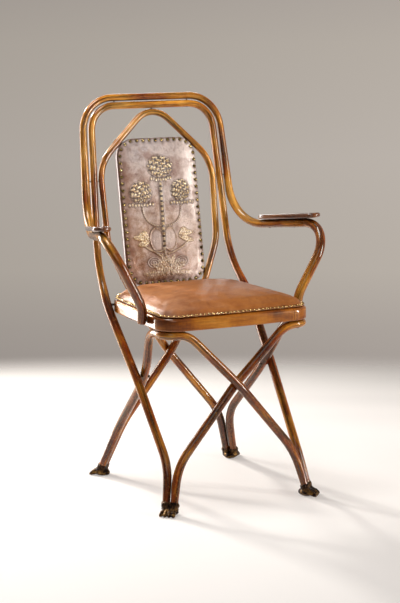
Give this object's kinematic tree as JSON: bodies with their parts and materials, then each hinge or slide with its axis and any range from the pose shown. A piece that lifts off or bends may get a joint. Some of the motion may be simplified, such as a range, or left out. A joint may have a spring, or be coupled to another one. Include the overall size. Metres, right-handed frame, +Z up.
{
  "type": "bentwood armchair",
  "caption": "Bentwood armchair of round bent rods with crossed legs, cast paw feet, a domed leather seat, a leather back panel and oval arm pads.",
  "frame": {"origin": "centre of the chair's bounding box at floor level", "axes": "+Z up, the front of the chair faces -Y, +X is the chair's side that is on the right when it is seen from the front"},
  "size_m": [0.5804, 0.4978, 0.901],
  "materials": {
    "rod_wood": "clear varnish over golden-brown to red-brown stain, glossy",
    "rail_wood": "clear varnish over golden-brown to red-brown stain, glossy",
    "pad_wood": "dark varnish, glossy",
    "plain_wood": "plain, unfinished",
    "seat_leather": "tan-brown, waxed",
    "strip_leather": "brown, waxed",
    "panel_leather": "silvery mauve-brown with raised gilt flowers",
    "cover_leather": "brown cloth-like leather",
    "nail_brass": "polished, a little tarnished",
    "paw_bronze": "dark patina with brassy wear on the high spots",
    "steel": "dull, browned"
  },
  "bodies": {
    "root": {"outer_bow": "rod_wood", "inner_bow": "rod_wood", "pointed_loop": "rod_wood", "corner_loop_left": "rod_wood", "corner_loop_right": "rod_wood", "seat_ring": "rail_wood", "seat_board": "plain_wood", "seat_cushion": "seat_leather", "seat_strip": "strip_leather", "seat_nails": "nail_brass", "back_panel_board": "plain_wood", "back_panel_leather": "panel_leather", "back_panel_cover": "cover_leather", "back_panel_nails": "nail_brass", "back_panel_plates": "steel", "arm_pad_left": "pad_wood", "arm_pad_right": "pad_wood", "paw_front_left": "paw_bronze", "paw_front_right": "paw_bronze", "paw_back_left": "paw_bronze", "paw_back_right": "paw_bronze", "post_bolts": "steel", "support_bolts": "steel", "loop_screws": "steel", "back_ring_screws": "steel", "crossing_bolts": "steel", "bow_screws": "steel", "arm_pad_screws": "steel", "paw_pins": "paw_bronze"}
  },
  "joints": []
}
